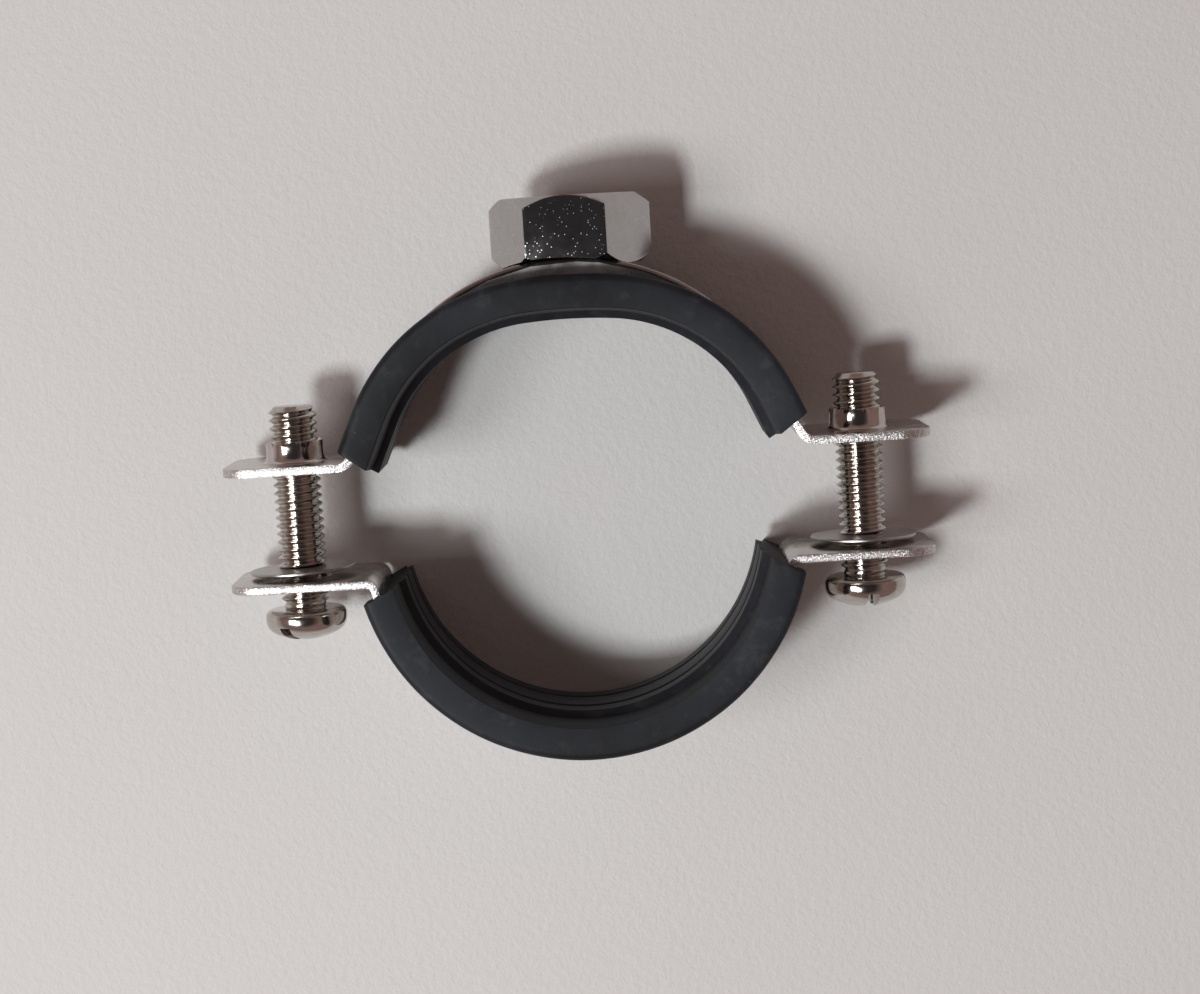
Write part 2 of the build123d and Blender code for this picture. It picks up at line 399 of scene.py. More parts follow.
# ---- Effects that the materials share ---------------------------------------------------
def make_mottling():
    """Slow change of colour and sheen over a surface."""
    tree, start, end = new_group(
        "mottling",
        [
            ("Scale", "float", 100.0),
            ("Stretch", "vector", (1.0, 1.0, 1.0)),
            ("Low Color", "color", (0.4, 0.4, 0.4, 1)),
            ("High Color", "color", (0.6, 0.6, 0.6, 1)),
        ],
        [("Color", "color"), ("Mask", "float")],
    )
    clouds = stretched_noise(tree, start, detail=6.0, roughness=0.62)
    mask = band_pass(tree, clouds, 0.32, 0.68)
    color = mixed(tree, mask, start.outputs["Low Color"], start.outputs["High Color"])
    feed(tree, end.inputs["Color"], color)
    feed(tree, end.inputs["Mask"], mask)
    return tree


def make_scratches():
    """Thin lines along one direction, as left by rolling, stamping or handling."""
    sparse, gain, full = 0.72, 0.3, 0.75  # noise at which lines start, and are at their full
    tree, start, end = new_group(
        "scratches",
        [
            ("Scale", "float", 1000.0),
            ("Stretch", "vector", (1.0, 0.05, 1.0)),
            ("Density", "float", 0.5),
        ],
        [("Mask", "float")],
    )
    lines = stretched_noise(tree, start, detail=3.0, roughness=0.7)
    gained = computed(tree, "MULTIPLY", start.outputs["Density"], gain)
    mask = add_node(tree, "ShaderNodeMapRange", From_Max=full)
    feed(tree, mask.inputs["Value"], lines)
    feed(tree, mask.inputs["From Min"], computed(tree, "SUBTRACT", sparse, gained))
    feed(tree, end.inputs["Mask"], mask.outputs["Result"])
    return tree


def make_specks():
    """Small round specks, such as dust, pits or glints, in a share of a grid's cells."""
    tree, start, end = new_group(
        "specks",
        [("Scale", "float", 1000.0), ("Size", "float", 0.2), ("Share", "float", 0.3)],
        [("Mask", "float")],
    )
    place = add_node(tree, "ShaderNodeTexCoord")
    cells = add_node(tree, "ShaderNodeTexVoronoi")
    feed(tree, cells.inputs["Vector"], place.outputs["Object"])
    feed(tree, cells.inputs["Scale"], start.outputs["Scale"])
    near = add_node(tree, "ShaderNodeMapRange", From_Min=0.0, To_Min=1.0, To_Max=0.0)
    feed(tree, near.inputs["Value"], cells.outputs["Distance"])
    feed(tree, near.inputs["From Max"], start.outputs["Size"])
    tone = add_node(tree, "ShaderNodeSeparateColor")
    feed(tree, tone.inputs["Color"], cells.outputs["Color"])
    chosen = computed(tree, "LESS_THAN", tone.outputs["Red"], start.outputs["Share"])
    feed(tree, end.inputs["Mask"], computed(tree, "MULTIPLY", near.outputs["Result"], chosen))
    return tree


MOTTLING = make_mottling()
SCRATCHES = make_scratches()
SPECKS = make_specks()

# ---- Materials --------------------------------------------------------------------------
STAINED = (0.8, 0.78, 0.75)  # shares of a steel's own colour
BARE = (1.15, 1.15, 1.15)
ALONG_STRIP = (1.0, 9.0, 1.0)  # the way that a steel's fine lines run
ROUND_COLLAR = (1.0, 1.0, 0.12)
ROUND_SCREW = (1.0, 1.0, 3.0)
NO_WAY = (1.0, 1.0, 1.0)


def new_material(name, **values):
    """A material with its Principled shader, whose fixed values are set on it directly."""
    material = bpy.data.materials.new(name)
    material.use_nodes = True
    tree = material.node_tree
    shader = tree.nodes["Principled BSDF"]
    for socket, value in values.items():
        shader.inputs[socket.replace("_", " ")].default_value = value
    return material, tree, shader


def tinted(tone, shares):
    """A colour with a share taken of each of its parts."""
    return (*(part * share for part, share in zip(tone, shares)), 1)


def make_steel(name, tone, rough, stretch, line_scale, line_depth):
    """Stainless steel with fine lines and soft stains."""
    material, tree, shader = new_material(name, Metallic=1.0)
    stain = add_group(
        tree,
        MOTTLING,
        Scale=160.0,
        Low_Color=tinted(tone, STAINED),
        High_Color=(*tone, 1),
    )
    lines = add_group(tree, SCRATCHES, Scale=line_scale, Stretch=stretch, Density=0.8)
    color = mixed(tree, lines.outputs["Mask"], stain.outputs["Color"], tinted(tone, BARE))
    feed(tree, shader.inputs["Base Color"], color)
    spread = combined(tree, stain.outputs["Mask"], lines.outputs["Mask"], share=0.6)
    feed(tree, shader.inputs["Roughness"], ranged(tree, spread, rough, rough * 1.7))
    bumped(tree, shader, lines.outputs["Mask"], depth=line_depth, strength=0.5)
    return material


def make_cut_edge(name):
    """Sheared edge of sheet steel: torn, pitted and glinting."""
    material, tree, shader = new_material(name, Metallic=1.0)
    torn = add_group(
        tree,
        MOTTLING,
        Scale=4200.0,
        Low_Color=(0.26, 0.24, 0.235, 1),
        High_Color=(0.9, 0.88, 0.87, 1),
    )
    glints = add_group(tree, SPECKS, Scale=5200.0, Size=0.5, Share=0.3)
    color = mixed(tree, glints.outputs["Mask"], torn.outputs["Color"], (0.98, 0.97, 0.96, 1))
    feed(tree, shader.inputs["Base Color"], color)
    sheen = ranged(tree, torn.outputs["Mask"], low=0.36, high=0.2)
    feed(tree, shader.inputs["Roughness"], sheen)
    height = combined(tree, torn.outputs["Mask"], glints.outputs["Mask"], share=0.6)
    bumped(tree, shader, height, depth=0.035, strength=0.9)
    return material


def make_nut_steel():
    """Bright stainless: smooth flats with fine pits that glint."""
    material, tree, shader = new_material("nut steel", Metallic=1.0)
    stain = add_group(
        tree,
        MOTTLING,
        Scale=520.0,
        Low_Color=(0.42, 0.405, 0.4, 1),
        High_Color=(0.47, 0.455, 0.45, 1),
    )
    pits = add_group(tree, SPECKS, Scale=4200.0, Size=0.34, Share=0.2)
    color = mixed(tree, pits.outputs["Mask"], stain.outputs["Color"], (0.8, 0.79, 0.78, 1))
    feed(tree, shader.inputs["Base Color"], color)
    smooth = ranged(tree, stain.outputs["Mask"], low=0.07, high=0.11)
    rough = combined(tree, smooth, pits.outputs["Mask"], share=0.4)
    feed(tree, shader.inputs["Roughness"], rough)
    bumped(tree, shader, pits.outputs["Mask"], depth=0.0025, strength=0.5)
    return material


def make_rubber(name, low, high, roughness):
    """Black rubber: matte, cloudy with bloom and painted sheen, with fine scuffs and a little
    dust.
    """
    material, tree, shader = new_material(name, Specular_IOR_Level=0.17)
    # large soft clouds between the two colours: partly rubber bloom, partly painted sheen from the
    # lamps
    bloom_and_sheen = add_group(tree, MOTTLING, Scale=34.0, Low_Color=low, High_Color=high)
    scuffs = add_group(tree, MOTTLING, Scale=420.0)
    worn = band_pass(tree, scuffs.outputs["Mask"], 0.62, 1.0)
    faint = computed(tree, "MULTIPLY", worn, bloom_and_sheen.outputs["Mask"])
    scuffed = mixed(tree, faint, bloom_and_sheen.outputs["Color"], (0.04, 0.042, 0.046, 1))
    dust = add_group(tree, SPECKS, Scale=420.0, Size=0.08, Share=0.14)
    dusty = mixed(tree, dust.outputs["Mask"], scuffed, (0.16, 0.16, 0.16, 1))
    feed(tree, shader.inputs["Base Color"], dusty)
    sheen = ranged(tree, bloom_and_sheen.outputs["Mask"], roughness, roughness + 0.12)
    feed(tree, shader.inputs["Roughness"], sheen)
    grain = add_group(tree, MOTTLING, Scale=2600.0)
    height = combined(tree, scuffs.outputs["Mask"], grain.outputs["Mask"], share=0.5)
    bumped(tree, shader, height, depth=0.02, strength=0.4)
    return material


def make_table_top():
    """Pale table top with faint stains and a fine orange-peel texture, clear from below."""
    material, tree, shader = new_material("pale table", Specular_IOR_Level=0.2, Roughness=0.75)
    stain = add_group(
        tree,
        MOTTLING,
        Scale=7.0,
        Low_Color=(0.605, 0.59, 0.58, 1),
        High_Color=(0.63, 0.62, 0.612, 1),
    )
    feed(tree, shader.inputs["Base Color"], stain.outputs["Color"])
    grain = add_group(tree, MOTTLING, Scale=1200.0)
    bumped(tree, shader, grain.outputs["Mask"], depth=0.12, strength=0.5)
    side = add_node(tree, "ShaderNodeNewGeometry")
    clear = add_node(tree, "ShaderNodeBsdfTransparent")
    either = add_node(tree, "ShaderNodeMixShader")
    feed(tree, either.inputs["Fac"], side.outputs["Backfacing"])
    feed(tree, either.inputs[1], shader.outputs["BSDF"])
    feed(tree, either.inputs[2], clear.outputs["BSDF"])
    feed(tree, tree.nodes["Material Output"].inputs["Surface"], either.outputs["Shader"])
    return material


STRIP = make_steel("strip steel", (0.64, 0.61, 0.59), 0.2, ALONG_STRIP, 260.0, 0.004)
# darker steel for the crown's outer face: painted shade round the foot of the nut
SHADED_CROWN = make_steel("crown steel with painted shade", (0.3, 0.275, 0.26), 0.1, ALONG_STRIP, 260.0, 0.004)
COLLAR = make_steel("collar steel", (0.56, 0.52, 0.5), 0.08, ROUND_COLLAR, 900.0, 0.008)
SCREW = make_steel("screw steel", (0.54, 0.51, 0.48), 0.08, ROUND_SCREW, 700.0, 0.005)
WASHER = make_steel("washer steel", (0.5, 0.47, 0.46), 0.26, NO_WAY, 800.0, 0.004)
CUT = make_cut_edge("cut edge steel")
NUT = make_nut_steel()
# the lighter colour of each rubber is partly bloom and partly painted sheen
RUBBER = make_rubber("liner rubber", (0.003, 0.0034, 0.0046, 1), (0.027, 0.0295, 0.037, 1), 0.46)
RUBBER_CUT = make_rubber("cut rubber", (0.005, 0.0052, 0.006, 1), (0.009, 0.0094, 0.0105, 1), 0.55)
TABLE = make_table_top()

ROLLED_FACE, CUT_FACE, SHADED_CROWN_FACE = range(3)  # a strip's materials, in their order


# ---- Bands ------------------------------------------------------------------------------
def in_collar(face):
    """Whether a face of a strip belongs to a collar, which is a piece of its own here."""
    centre = face.calc_center_median() / MM
    from_screw = hypot(abs(centre.x) - HALF_SPACING, centre.y)
    if from_screw < COLLAR_RADIUS + COLLAR_FLARE and centre.z > UPPER_EAR_TOP + 0.01:
        return True
    in_bore = from_screw < COLLAR_BORE + 0.1 and abs(face.normal.z) < BORE_WALL
    return in_bore and centre.z > 0


def strip_face(face, ear_start):
    """What a face of a strip shows: rolled steel, a cut edge or the darker crown with painted
    shade round the nut's foot.
    """
    centre = face.calc_center_median() / MM
    from_crown = hypot(centre.x, centre.z - CROWN_CENTRE)
    if abs(face.normal.y) > PIPE_WAYS and abs(centre.y) > STRIP_WIDTH / 2 - 0.05:
        return CUT_FACE
    if abs(centre.x) > ear_start and abs(face.normal.z) < UPRIGHT:
        return CUT_FACE
    on_crown = centre.z > CROWN_FOOT and abs(centre.y) < CROWN_HALF_WIDTH + 0.1
    # the crown's outer face takes the painted shade round the foot of the nut
    return SHADED_CROWN_FACE if on_crown and from_crown > CROWN_REACH else ROLLED_FACE


def make_band(node_name, body, ear_start):
    """Bent strip from its solid, with its cut edges told apart and its collars left out."""
    piece = copy_of(node_name, node_name.replace("band", "strip"), [STRIP, CUT, SHADED_CROWN])
    with editing(piece.data) as edit:
        collars = [face for face in edit.faces if in_collar(face)]
        for face in edit.faces:
            face.material_index = strip_face(face, ear_start)
        bmesh.ops.delete(edit, geom=collars, context="FACES")
    round_edges(piece, STRIP_EDGE, segments=2)
    baked(piece)
    placed(piece, body, node_name)


def ring_noise(turn, waves, level):
    """Noise that meets itself round a circle; each level has its own pattern."""
    return noise.noise(Vector((waves * cos(turn), waves * sin(turn), level)))


def collar_section(turn, side):
    """A collar's wall at one angle, from its foot over its torn rim and down its bore."""
    ragged = ring_noise(turn, RAGGED_WAVES, 7.0 * side)
    nicks = ring_noise(turn, NICK_WAVES, 2.0 * side)
    rim = COLLAR_HEIGHT + 0.08 + RAGGED_DEPTH * ragged + NICK_DEPTH * nicks
    lean = 0.05 * nicks
    return [
        (COLLAR_RADIUS + COLLAR_FLARE + 0.05, -0.03),
        (COLLAR_RADIUS + 0.36, 0.06),
        (COLLAR_RADIUS + 0.2, 0.18),
        (COLLAR_RADIUS + 0.08, 0.38),
        (COLLAR_RADIUS + 0.01, 0.7),
        (COLLAR_RADIUS - 0.03, 1.2),
        (COLLAR_RADIUS - 0.04, 1.8),
        (COLLAR_RADIUS - 0.01 + lean, rim - 0.2),
        (COLLAR_RADIUS - 0.08 + lean, rim),
        (COLLAR_RADIUS - 0.28, rim - 0.05),
        (COLLAR_RADIUS - 0.5, COLLAR_HEIGHT - 0.15),
        (COLLAR_BORE, COLLAR_HEIGHT - 0.3),
        (COLLAR_BORE, -STRIP_THICKNESS),
    ]


def make_collar(side):
    """Collar drawn up from the ear, flared at its foot and torn round its rim."""
    x = SIDES[side] * HALF_SPACING
    points = []
    faces = []
    turns = [2 * pi * step / COLLAR_STEPS for step in range(COLLAR_STEPS)]
    for turn in turns:
        for radius, height in collar_section(turn, SIDES[side]):
            points.append((
                x + radius * cos(turn), radius * sin(turn), UPPER_EAR_TOP + height
            ))
    count = len(points) // COLLAR_STEPS
    for start in range(0, len(points), count):
        after = (start + count) % len(points)
        for index in range(count - 1):
            faces.append((
                start + index, after + index, after + index + 1, start + index + 1
            ))
    piece = new_piece(f"{side}_collar", points, faces, [COLLAR])
    set_sharp(piece.data, COLLAR_CREASE)
    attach(piece, "upper_half")


# ---- Liners -----------------------------------------------------------------------------
def liner_profile():
    """Closed outline of a liner's section, as (across, height over the strip's outer face)."""
    face = -STRIP_THICKNESS
    half = [
        (0.0, face - PAD_FACE),
        (GROOVE_CENTRE - GROOVE_HALF_WIDTH, face - PAD_FACE),
        (GROOVE_CENTRE - 0.12, face - PAD_FACE + GROOVE_DEPTH),
        (GROOVE_CENTRE + 0.12, face - PAD_FACE + GROOVE_DEPTH),
        (GROOVE_CENTRE + GROOVE_HALF_WIDTH, face - PAD_FACE),
        (PAD_HALF_WIDTH - 0.9, face - PAD_FACE),
        (PAD_HALF_WIDTH, face - PAD_FACE),
        (PAD_HALF_WIDTH + PAD_SLOPE, face - LINER_WEB - SHOULDER_FALL),
        (LINER_HALF_WIDTH - 1.6, face - LINER_WEB - 0.2),
        (LINER_HALF_WIDTH, face - LINER_WEB),
        (LINER_HALF_WIDTH, -0.2),
    ]
    corner = (LINER_HALF_WIDTH - LIP_ROUND, LINER_LIP - LIP_ROUND)
    half += arc_points(corner, LIP_ROUND, 0, 90, 6)
    half += [
        (STRIP_WIDTH / 2 - LIP_REACH, LINER_LIP - 0.12),
        (STRIP_WIDTH / 2 - LIP_REACH, 0.0),
        (STRIP_WIDTH / 2, 0.0),
        (STRIP_WIDTH / 2, face),
        (0.0, face),
    ]
    mirrored = [(-across, height) for across, height in reversed(half[1:-1])]
    return half + mirrored


def arc_station(centre, radius, angle):
    """Station on an arc of a strip's outer face: (x, z, normal x, normal z)."""
    turn = radians(angle)
    return (
        centre[0] + radius * cos(turn), centre[1] + radius * sin(turn), cos(turn), sin(turn)
    )


def upper_stations():
    """Stations along the upper strip's outer face, from the right flank to the left one."""
    slope = radians(SHOULDER_ANGLE)
    half = []
    for index in range(FLANK_STEPS):
        run = FLANK_LENGTH * (1 - index / FLANK_STEPS)
        half.append((
            FLANK_X + run * cos(slope), FLANK_Z - run * sin(slope), sin(slope), cos(slope)
        ))
    for index in range(SHOULDER_STEPS + 1):
        passed = (SHOULDER_ANGLE - SADDLE_ANGLE) * index / SHOULDER_STEPS
        angle = 90 - SHOULDER_ANGLE + passed
        half.append(arc_station((SHOULDER_X, SHOULDER_Z), SHOULDER_RADIUS, angle))
    saddle = []
    for index in range(1, SADDLE_STEPS):
        angle = 90 - SADDLE_ANGLE + 2 * SADDLE_ANGLE * index / SADDLE_STEPS
        saddle.append(arc_station((0, SADDLE_CENTRE), SADDLE_RADIUS, angle))
    mirrored = [(-x, z, -normal_x, normal_z) for x, z, normal_x, normal_z in reversed(half)]
    return half + saddle + mirrored


def lower_stations():
    """Stations along the lower strip's outer face, from the left to the right."""
    return [
        arc_station((0, 0), LOWER_RADIUS, 180 + 180 * index / LOWER_STEPS)
        for index in range(LOWER_STEPS + 1)
    ]


def swept(profile, stations):
    """Points of a profile carried along stations, with a ripple in the lips."""
    points = []
    for x, z, normal_x, normal_z in stations:
        for across, height in profile:
            lift = height
            if abs(across) > STRIP_WIDTH / 2 - LIP_REACH:
                place = Vector((x * RIPPLE_ALONG, across * RIPPLE_ACROSS, z * RIPPLE_ALONG))
                lift += RIPPLE_DEPTH * (noise.noise(place) - 1)
            points.append((x + normal_x * lift, across, z + normal_z * lift))
    return points


def cut_ends(piece, ends):
    """Cuts a liner's ends flat; each end has its lip's corner and its outward angle."""
    with editing(piece.data) as edit:
        for side, (corner, facing) in ends.items():
            origin = Vector((SIDES[side] * corner[0], 0, corner[1])) * MM
            outward = Vector((SIDES[side] * cos(radians(facing)), 0, sin(radians(facing))))
            everything = edit.verts[:] + edit.edges[:] + edit.faces[:]
            bmesh.ops.bisect_plane(
                edit, geom=everything, plane_co=origin, plane_no=outward, clear_outer=True
            )
            for face in bmesh.ops.edgeloop_fill(edit, edges=open_edges(edit))["faces"]:
                face.material_index = 1
        bmesh.ops.recalc_face_normals(edit, faces=edit.faces)


def make_liner(name, body, node_name, stations, ends):
    """Rubber profile along a strip, cut at its ends."""
    profile = liner_profile()
    count = len(profile)
    points = swept(profile, stations)
    faces = skin(len(stations), count, closed=True)
    faces.append(tuple(range(count)))
    faces.append(tuple(reversed(range(len(points) - count, len(points)))))
    piece = new_piece(name, points, faces, [RUBBER, RUBBER_CUT])
    cut_ends(piece, ends)
    round_edges(piece, RUBBER_EDGE, angle=RUBBER_CORNER)
    baked(piece, SOFT_CREASE)
    placed(piece, body, node_name)


def upper_ends():
    """Where the upper liner's lips end, and which way its cut ends face."""
    ends = {}
    for side, height in UPPER_LINER_ENDS.items():
        corner = (FLANK_X + (FLANK_Z - height) / tan(radians(SHOULDER_ANGLE)), height)
        ends[side] = (corner, UPPER_END_SLANT - SHOULDER_ANGLE)
    return ends


def lower_ends():
    """Where the lower liner's lips end, and which way its cut ends face."""
    ends = {}
    for side, angle in LOWER_LINER_ENDS.items():
        corner = (LOWER_RADIUS * cos(radians(angle)), -LOWER_RADIUS * sin(radians(angle)))
        ends[side] = (corner, 90 - angle - LOWER_END_SLANT)
    return ends


# ---- Threads ----------------------------------------------------------------------------
def make_thread(name, x, bottom, top, pitch, section, limit, material, steps=72):
    """Helical surface; section gives (share of the pitch, radius), limit clips the radius."""
    count = len(section)
    rows = (int((top - bottom) / pitch) + 2) * count
    points = []
    for row in range(rows):
        share, radius = section[row % count]
        for step in range(steps + 1):
            turn = step / steps
            height = bottom - pitch + (row // count + share + turn) * pitch
            height = min(max(height, bottom), top)
            reach = limit(radius, height)
            angle = 2 * pi * turn
            points.append((x + reach * cos(angle), reach * sin(angle), height))
    piece = new_piece(name, points, skin(rows, steps + 1, closed=False), [material])
    with editing(piece.data) as edit:
        bmesh.ops.remove_doubles(edit, verts=edit.verts, dist=SEAM_GAP * MM)
        bmesh.ops.dissolve_degenerate(edit, edges=edit.edges, dist=SLIVER * MM)
    return piece


# ---- Screws -----------------------------------------------------------------------------
SCREW_SECTION = [
    (0.0, CREST_RADIUS),
    (0.07, CREST_RADIUS - CREST_EASE),
    (0.13, CREST_RADIUS - CREST_CORNER),
    (0.38, ROOT_RADIUS + ROOT_CORNER),
    (0.44, ROOT_RADIUS),
    (0.56, ROOT_RADIUS),
    (0.62, ROOT_RADIUS + ROOT_CORNER),
    (0.87, CREST_RADIUS - CREST_CORNER),
    (0.93, CREST_RADIUS - CREST_EASE),
]


def screw_limit(radius, height):
    """Neck under the thread and chamfer at the tip."""
    if height < SCREW_BEARING + NECK_LENGTH:
        radius = min(radius, NECK_RADIUS)
    return min(radius, CREST_RADIUS - TIP_CHAMFER + (SCREW_TIP - height))


def make_shank(side, x):
    """Rolled thread and neck, closed at both ends."""
    shank = make_thread(
        f"{side}_screw_thread",
        x,
        SCREW_BEARING - 0.2,
        SCREW_TIP,
        THREAD_PITCH,
        SCREW_SECTION,
        screw_limit,
        SCREW,
    )
    with editing(shank.data) as edit:
        bmesh.ops.holes_fill(edit, edges=open_edges(edit), sides=0)
        bmesh.ops.recalc_face_normals(edit, faces=edit.faces)
    set_sharp(shank.data, SCREW_CREASE)
    placed(shank, f"{side}_fastener", f"{side}_screw")


def head_profile(bottom):
    """Head from the middle of its dome, round its belly and its rim, to its bearing face."""
    dome = (0, bottom + HEAD_DOME_RADIUS)
    shoulder = (HEAD_RADIUS - HEAD_SHOULDER_RADIUS, bottom + HEAD_BELLY)
    rim = (HEAD_RADIUS - HEAD_RIM, SCREW_BEARING - HEAD_RIM)
    dome_end = HEAD_DOME_SPREAD - 90
    return [
        (0.0, bottom),
        *arc_points(dome, HEAD_DOME_RADIUS, DOME_START, dome_end, 8),
        *arc_points(shoulder, HEAD_SHOULDER_RADIUS, dome_end, 0, 12)[1:],
        *arc_points(rim, HEAD_RIM, 0, RIM_END, 8),
        (ROOT_RADIUS, SCREW_BEARING),
        (0.0, SCREW_BEARING),
    ]


def box_corners(length, width, turn, x, height):
    """Four corners of an upright cutter at one height, turned about the screw's axis."""
    corners = []
    for along, across in ((-1, -1), (1, -1), (1, 1), (-1, 1)):
        point = Vector((along * length / 2, across * width / 2, 0))
        point.rotate(Matrix.Rotation(radians(turn), 3, "Z"))
        corners.append(point + Vector((x, 0, 0)) + Vector((0, 0, height)))
    return corners


def cut_recess(head, x, bottom, turn):
    """Slot and cross in the underside of a head."""
    faces = [(3, 2, 1, 0), (4, 5, 6, 7), (0, 1, 5, 4), (1, 2, 6, 5), (2, 3, 7, 6), (3, 0, 4, 7)]
    for length, width in ((4 * HEAD_RADIUS, SLOT_WIDTH), (SLOT_WIDTH, CROSS_LENGTH)):
        points = box_corners(length, width, turn, x, bottom - 1)
        points += box_corners(length, width, turn, x, bottom + SLOT_DEPTH)
        cutter = new_piece("cutter", points, faces, [])
        cut = head.modifiers.new("recess", "BOOLEAN")
        cut.operation = "DIFFERENCE"
        cut.solver = "EXACT"
        cut.object = cutter
        baked(head)
        bpy.data.objects.remove(cutter)


def make_screw(side):
    """Screw with a rolled thread, a domed head, a slot and a cross."""
    x = SIDES[side] * HALF_SPACING
    bottom = SCREW_BEARING - HEAD_HEIGHT
    make_shank(side, x)
    head = lathe(f"{side}_screw_head", head_profile(bottom), x, SCREW)
    cut_recess(head, x, bottom, SLOT_TURNS[side])
    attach(head, f"{side}_fastener")


# ---- Nut --------------------------------------------------------------------------------
ROD_SECTION = [
    (0.0, ROD_BORE_RADIUS),
    (0.12, ROD_BORE_RADIUS),
    (0.44, ROD_BORE_RADIUS + ROD_GROOVE),
    (0.56, ROD_BORE_RADIUS + ROD_GROOVE),
    (0.88, ROD_BORE_RADIUS),
]


def rod_limit(radius, height):
    """Chamfer at the mouth of the nut's bore."""
    return max(radius, ROD_BORE_RADIUS + ROD_CHAMFER - (NUT_TOP - height))


def in_nut_bore(face):
    """Whether a face of the nut's solid is its plain bore or the chamfer at its mouth."""
    centre = face.calc_center_median()
    from_axis = hypot(centre.x - NUT_X * MM, centre.y)
    if from_axis >= (ROD_BORE_RADIUS + ROD_CHAMFER - 0.1) * MM:
        return False
    return abs(face.normal.z) < NOT_LEVEL and centre.z > NUT_FOOT * MM


def make_nut():
    """Hexagon nut from its solid, with a real thread in its bore."""
    piece = copy_of("hanger_nut", "nut", [NUT])
    with editing(piece.data) as edit:
        bore = [face for face in edit.faces if in_nut_bore(face)]
        bmesh.ops.delete(edit, geom=bore, context="FACES")
        centre = Vector((NUT_X, 0, 0)) * MM
        turn = Matrix.Rotation(radians(NUT_LEAN), 3, "Z")
        bmesh.ops.rotate(edit, cent=centre, matrix=turn, verts=edit.verts)
    round_edges(piece, NUT_EDGE, angle=NUT_CORNER)
    baked(piece, NUT_CREASE)
    placed(piece, "upper_half", "hanger_nut")
    thread = make_thread(
        "nut_thread",
        NUT_X,
        NUT_FOOT,
        NUT_TOP - 0.01,
        ROD_PITCH,
        ROD_SECTION,
        rod_limit,
        NUT,
    )
    set_sharp(thread.data, SOFT_CREASE)
    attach(thread, "upper_half")


# ---- Washers ----------------------------------------------------------------------------
def make_washer(side):
    """Thin dished ring that grips the thread and stands a little askew on it."""
    x = SIDES[side] * HALF_SPACING
    low = WASHER_BOTTOM
    high = WASHER_BOTTOM + WASHER_THICKNESS
    inner, outer = WASHER_DISH
    profile = [
        (WASHER_HOLE, low + 0.12),
        (inner, low + 0.1),
        (outer, low),
        (WASHER_RADIUS - 0.12, low - 0.02),
        (WASHER_RADIUS, low + 0.1),
        (WASHER_RADIUS, high - 0.14),
        (WASHER_RADIUS - 0.1, high - 0.04),
        (outer, high),
        (inner, high + 0.08),
        (WASHER_HOLE, high + 0.1),
        (WASHER_HOLE, low + 0.12),
    ]
    piece = lathe(f"{side}_retaining_washer", profile, x, WASHER)
    lean = Matrix.Rotation(radians(WASHER_TILTS[side]), 4, "Y")
    centre = Vector((x, 0, (low + high) / 2)) * MM
    piece.data.transform(Matrix.Translation(centre) @ lean @ Matrix.Translation(-centre))
    with editing(piece.data) as edit:
        bmesh.ops.remove_doubles(edit, verts=edit.verts, dist=SEAM_GAP * MM)
    set_sharp(piece.data, SOFT_CREASE)
    placed(piece, f"{side}_fastener", f"{side}_washer")


# ---- Table, lamps and camera ------------------------------------------------------------
TABLE_GAP = 0.15
TABLE_REACH = 1500.0

# Each lamp's name, place and size in metres, power in watts and colour.
LAMPS = [
    ("main lamp", (-0.38, -0.85, -0.22), 0.14, 5.9, (0.94, 0.985, 1.0)),
    ("second lamp", (-0.56, -0.74, -0.1), 0.26, 2.5, (1.0, 0.97, 0.96)),
]

PALE_SIDE = (-0.35, 1.0, -0.35)  # the room is pale this way, and dim the other way
ROOM_PALE = (0.66, 0.58, 0.56, 1)
ROOM_DIM = (0.27, 0.185, 0.165, 1)
ROOM_FRONT = (0.04, 0.036, 0.038, 1)
FRONT_CONE = (-0.93, -0.72)  # the directions' Y where the dark front gives way to the dim room
BACKDROP = (0.62, 0.59, 0.58, 1)

LENS = 76.08
SENSOR_WIDTH = 36.0
CAMERA_PLACE = (0.0045, -0.3106, 0.0354)  # in metres
CAMERA_PITCH, CAMERA_YAW, CAMERA_ROLL = 5.9, -0.37, 3.46


def make_stage():
    """Pale table behind the clamp, which lies with its back on it."""
    table_y = LINER_HALF_WIDTH + TABLE_GAP
    corners = [(-TABLE_REACH, -TABLE_REACH), (TABLE_REACH, -TABLE_REACH)]
    corners += [(TABLE_REACH, TABLE_REACH), (-TABLE_REACH, TABLE_REACH)]
    points = [(x, table_y, z) for x, z in corners]
    table = new_piece("table", points, [(0, 1, 2, 3)], [TABLE])
    if table.data.polygons[0].normal.y > 0:
        table.data.flip_normals()


def add_lamp(name, place, size, power, color):
    """Soft square lamp that shines at the clamp's middle."""
    data = bpy.data.lights.new(name, "AREA")
    data.shape = "SQUARE"
    data.size = size
    data.energy = power
    data.color = color
    lamp = add_object(name, data)
    lamp.location = place
    lamp.rotation_euler = (-Vector(place)).to_track_quat("-Z", "Y").to_euler()


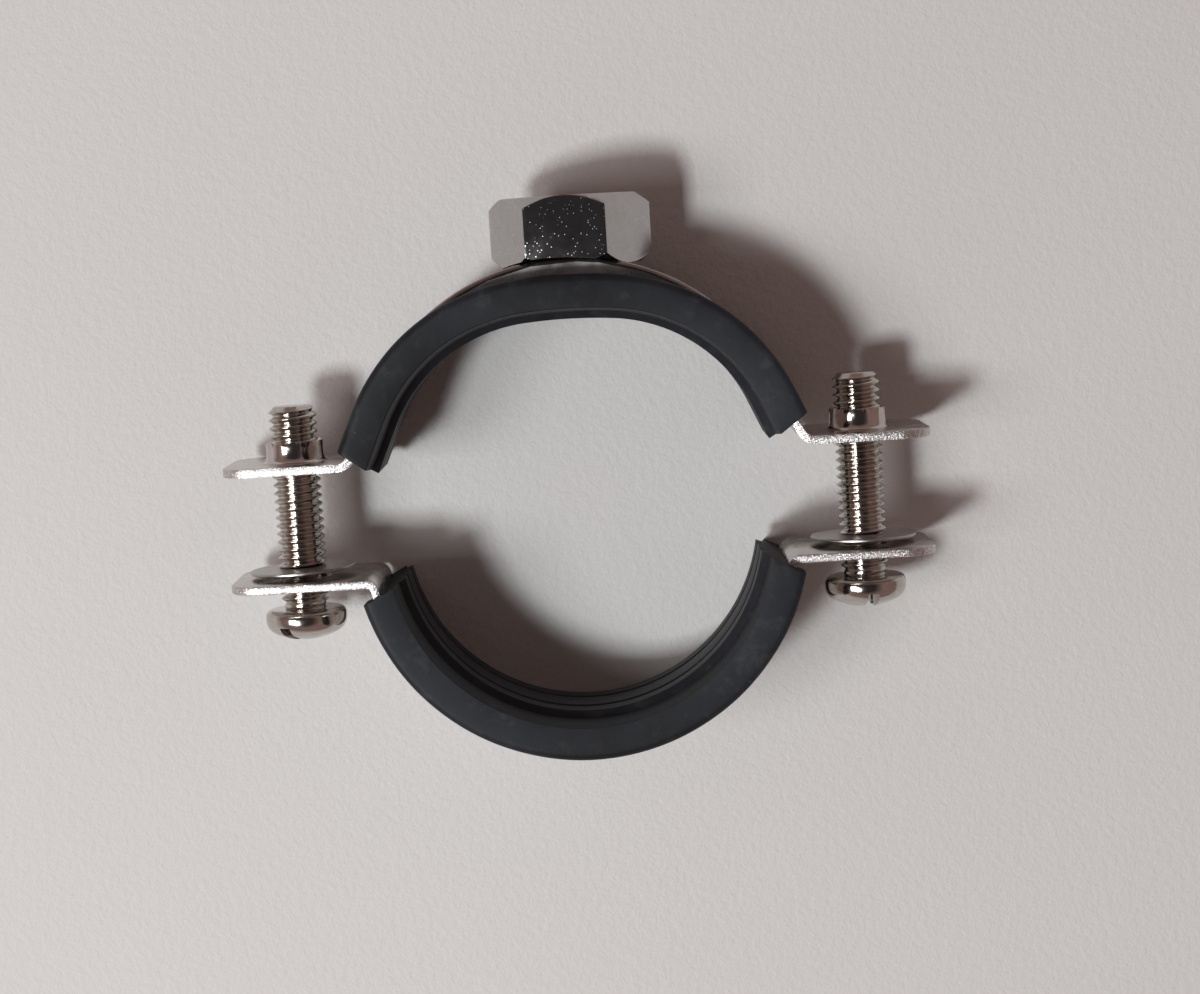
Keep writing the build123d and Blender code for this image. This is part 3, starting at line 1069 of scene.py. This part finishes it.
def room_light(tree, place):
    """The room's colour and its pale share, each by the direction looked in."""
    split = add_node(tree, "ShaderNodeSeparateXYZ")
    feed(tree, split.inputs["Vector"], place.outputs["Generated"])
    aside = band_pass(tree, split.outputs["Y"], *FRONT_CONE)
    dim = mixed(tree, aside, ROOM_FRONT, ROOM_DIM)
    across = add_node(tree, "ShaderNodeVectorMath", {"operation": "DOT_PRODUCT"})
    feed(tree, across.inputs[0], place.outputs["Generated"])
    feed(tree, across.inputs[1], PALE_SIDE)
    pale = band_pass(tree, across.outputs["Value"], 0.0, 0.5)
    return mixed(tree, pale, dim, ROOM_PALE), pale


def make_room():
    """Dim warm room, pale behind and darkest in front, with a pale backdrop to look at."""
    world = bpy.data.worlds.new("room")
    bpy.context.scene.world = world
    world.use_nodes = True
    tree = world.node_tree
    room, pale = room_light(tree, add_node(tree, "ShaderNodeTexCoord"))
    path = add_node(tree, "ShaderNodeLightPath")
    glossy = path.outputs["Is Glossy Ray"]
    shiny = computed(tree, "MAXIMUM", glossy, path.outputs["Is Transmission Ray"])
    reflected = computed(tree, "MULTIPLY", shiny, pale)
    shown = computed(tree, "MAXIMUM", path.outputs["Is Camera Ray"], reflected)
    color = mixed(tree, shown, room, BACKDROP)
    feed(tree, tree.nodes["Background"].inputs["Color"], color)


def make_camera():
    """Camera in front of the clamp, a little above its middle."""
    data = bpy.data.cameras.new("camera")
    data.lens = LENS
    data.sensor_width = SENSOR_WIDTH
    data.clip_start = 0.01
    camera = add_object("camera", data)
    pitch, yaw, roll = radians(CAMERA_PITCH), radians(CAMERA_YAW), radians(CAMERA_ROLL)
    forward = Vector((sin(yaw) * cos(pitch), cos(yaw) * cos(pitch), -sin(pitch)))
    right = Vector((cos(yaw), -sin(yaw), 0))
    up = right.cross(forward)
    image_right = right * cos(roll) - up * sin(roll)
    image_up = right * sin(roll) + up * cos(roll)
    turn = Matrix((image_right, image_up, -forward)).transposed()
    camera.matrix_world = Matrix.Translation(CAMERA_PLACE) @ turn.to_4x4()
    bpy.context.scene.camera = camera


make_band("upper_band", "upper_half", UPPER_EAR_START)
make_band("lower_band", "lower_half", LOWER_EAR_START)
for side in SIDES:
    make_collar(side)
    make_screw(side)
    make_washer(side)
make_liner("upper_rubber", "upper_half", "upper_liner", upper_stations(), upper_ends())
make_liner("lower_rubber", "lower_half", "lower_liner", lower_stations(), lower_ends())
make_nut()
make_stage()
for lamp in LAMPS:
    add_lamp(*lamp)
make_room()
make_camera()

scene = bpy.context.scene
scene.view_settings.view_transform = "Standard"
